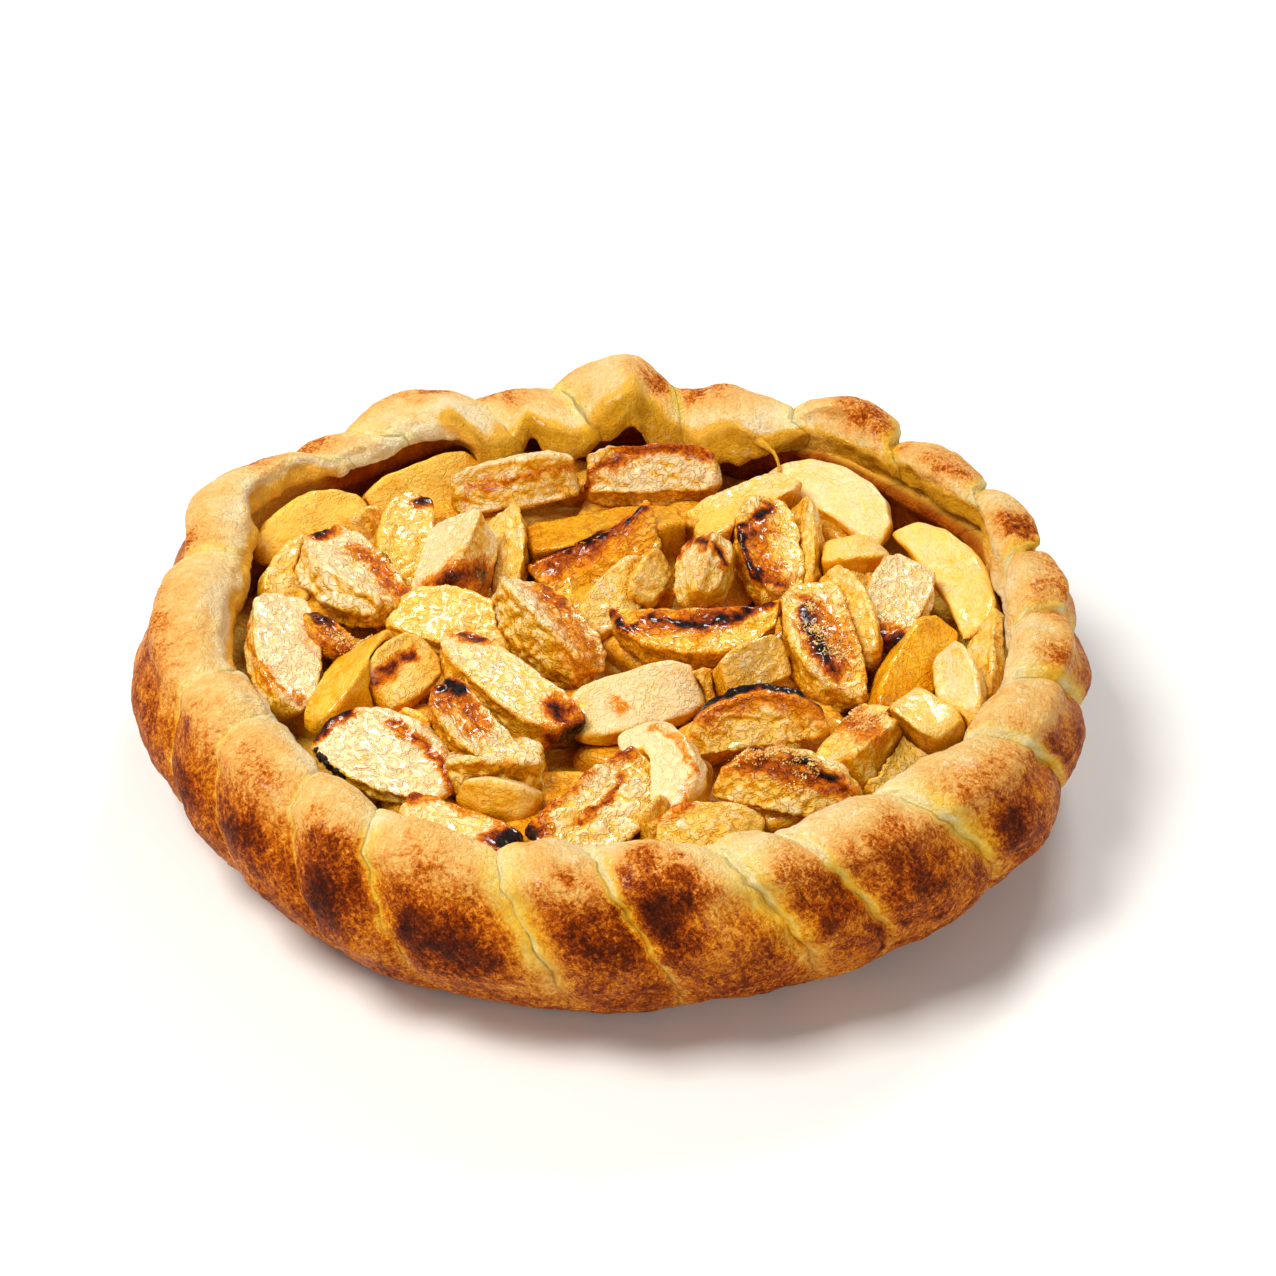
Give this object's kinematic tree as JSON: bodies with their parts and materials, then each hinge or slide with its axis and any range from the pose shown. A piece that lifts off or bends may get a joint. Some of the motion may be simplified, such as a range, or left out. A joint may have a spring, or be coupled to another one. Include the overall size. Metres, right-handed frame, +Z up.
{
  "type": "rustic apple tart",
  "caption": "Free-standing round tart: a thick twisted crust folded in over a heap of baked apple wedges and slices.",
  "frame": {"origin": "on the table, in the middle of the flat base under the tart", "axes": "+Z up out of the filling; the picture looks along +Y, downwards, with +X to its right, so -Y is the side that faces the camera"},
  "size_m": [0.2613, 0.255, 0.0607],
  "materials": {
    "crust": "golden brown egg-washed crust, satin, paler in the folds",
    "apple_piece": "baked apple with a thin juice glaze, dark at the edges",
    "apple_bed": "soft stewed apple"
  },
  "bodies": {
    "root": {"apple_bed": "apple_bed", "chunk_amber_back": "apple_piece", "chunk_back_left": "apple_piece", "chunk_back_middle": "apple_piece", "chunk_back_right": "apple_piece", "chunk_behind_rim": "apple_piece", "chunk_pale_right": "apple_piece", "chunk_sugared_right": "apple_piece", "cone_right": "apple_piece", "crust": "crust", "knob_right": "apple_piece", "scrap_brown_left": "apple_piece", "scrap_front_left": "apple_piece", "scrap_low_front": "apple_piece", "scrap_low_left": "apple_piece", "scrap_low_middle": "apple_piece", "scrap_low_rim": "apple_piece", "slab_middle": "apple_piece", "slice_flat_left": "apple_piece", "slice_front_right": "apple_piece", "slice_large_back": "apple_piece", "slice_large_right": "apple_piece", "slice_low_left": "apple_piece", "slice_low_middle": "apple_piece", "slice_low_right": "apple_piece", "slice_pale_front": "apple_piece", "slice_pale_left": "apple_piece", "slice_wall_back": "apple_piece", "slice_wall_left": "apple_piece", "slice_wall_right": "apple_piece", "slice_wrinkled_left": "apple_piece", "wedge_amber_left": "apple_piece", "wedge_behind_sugar": "apple_piece", "wedge_below_tip": "apple_piece", "wedge_beside_scorch": "apple_piece", "wedge_black_rim": "apple_piece", "wedge_charred_tip": "apple_piece", "wedge_dark_ridge": "apple_piece", "wedge_dark_top": "apple_piece", "wedge_front_edge": "apple_piece", "wedge_front_left": "apple_piece", "wedge_glazed_front": "apple_piece", "wedge_green_right": "apple_piece", "wedge_long_middle": "apple_piece", "wedge_low_back": "apple_piece", "wedge_low_front": "apple_piece", "wedge_pale_back": "apple_piece", "wedge_pointed_back": "apple_piece", "wedge_scorched_face": "apple_piece", "wedge_smooth_left": "apple_piece", "wedge_sugared_front": "apple_piece", "wedge_sugared_right": "apple_piece", "wedge_toasted_end": "apple_piece", "wedge_toasted_right": "apple_piece", "wedge_under_long": "apple_piece", "wedge_upright": "apple_piece", "wedge_wrinkled_middle": "apple_piece"}
  },
  "joints": []
}
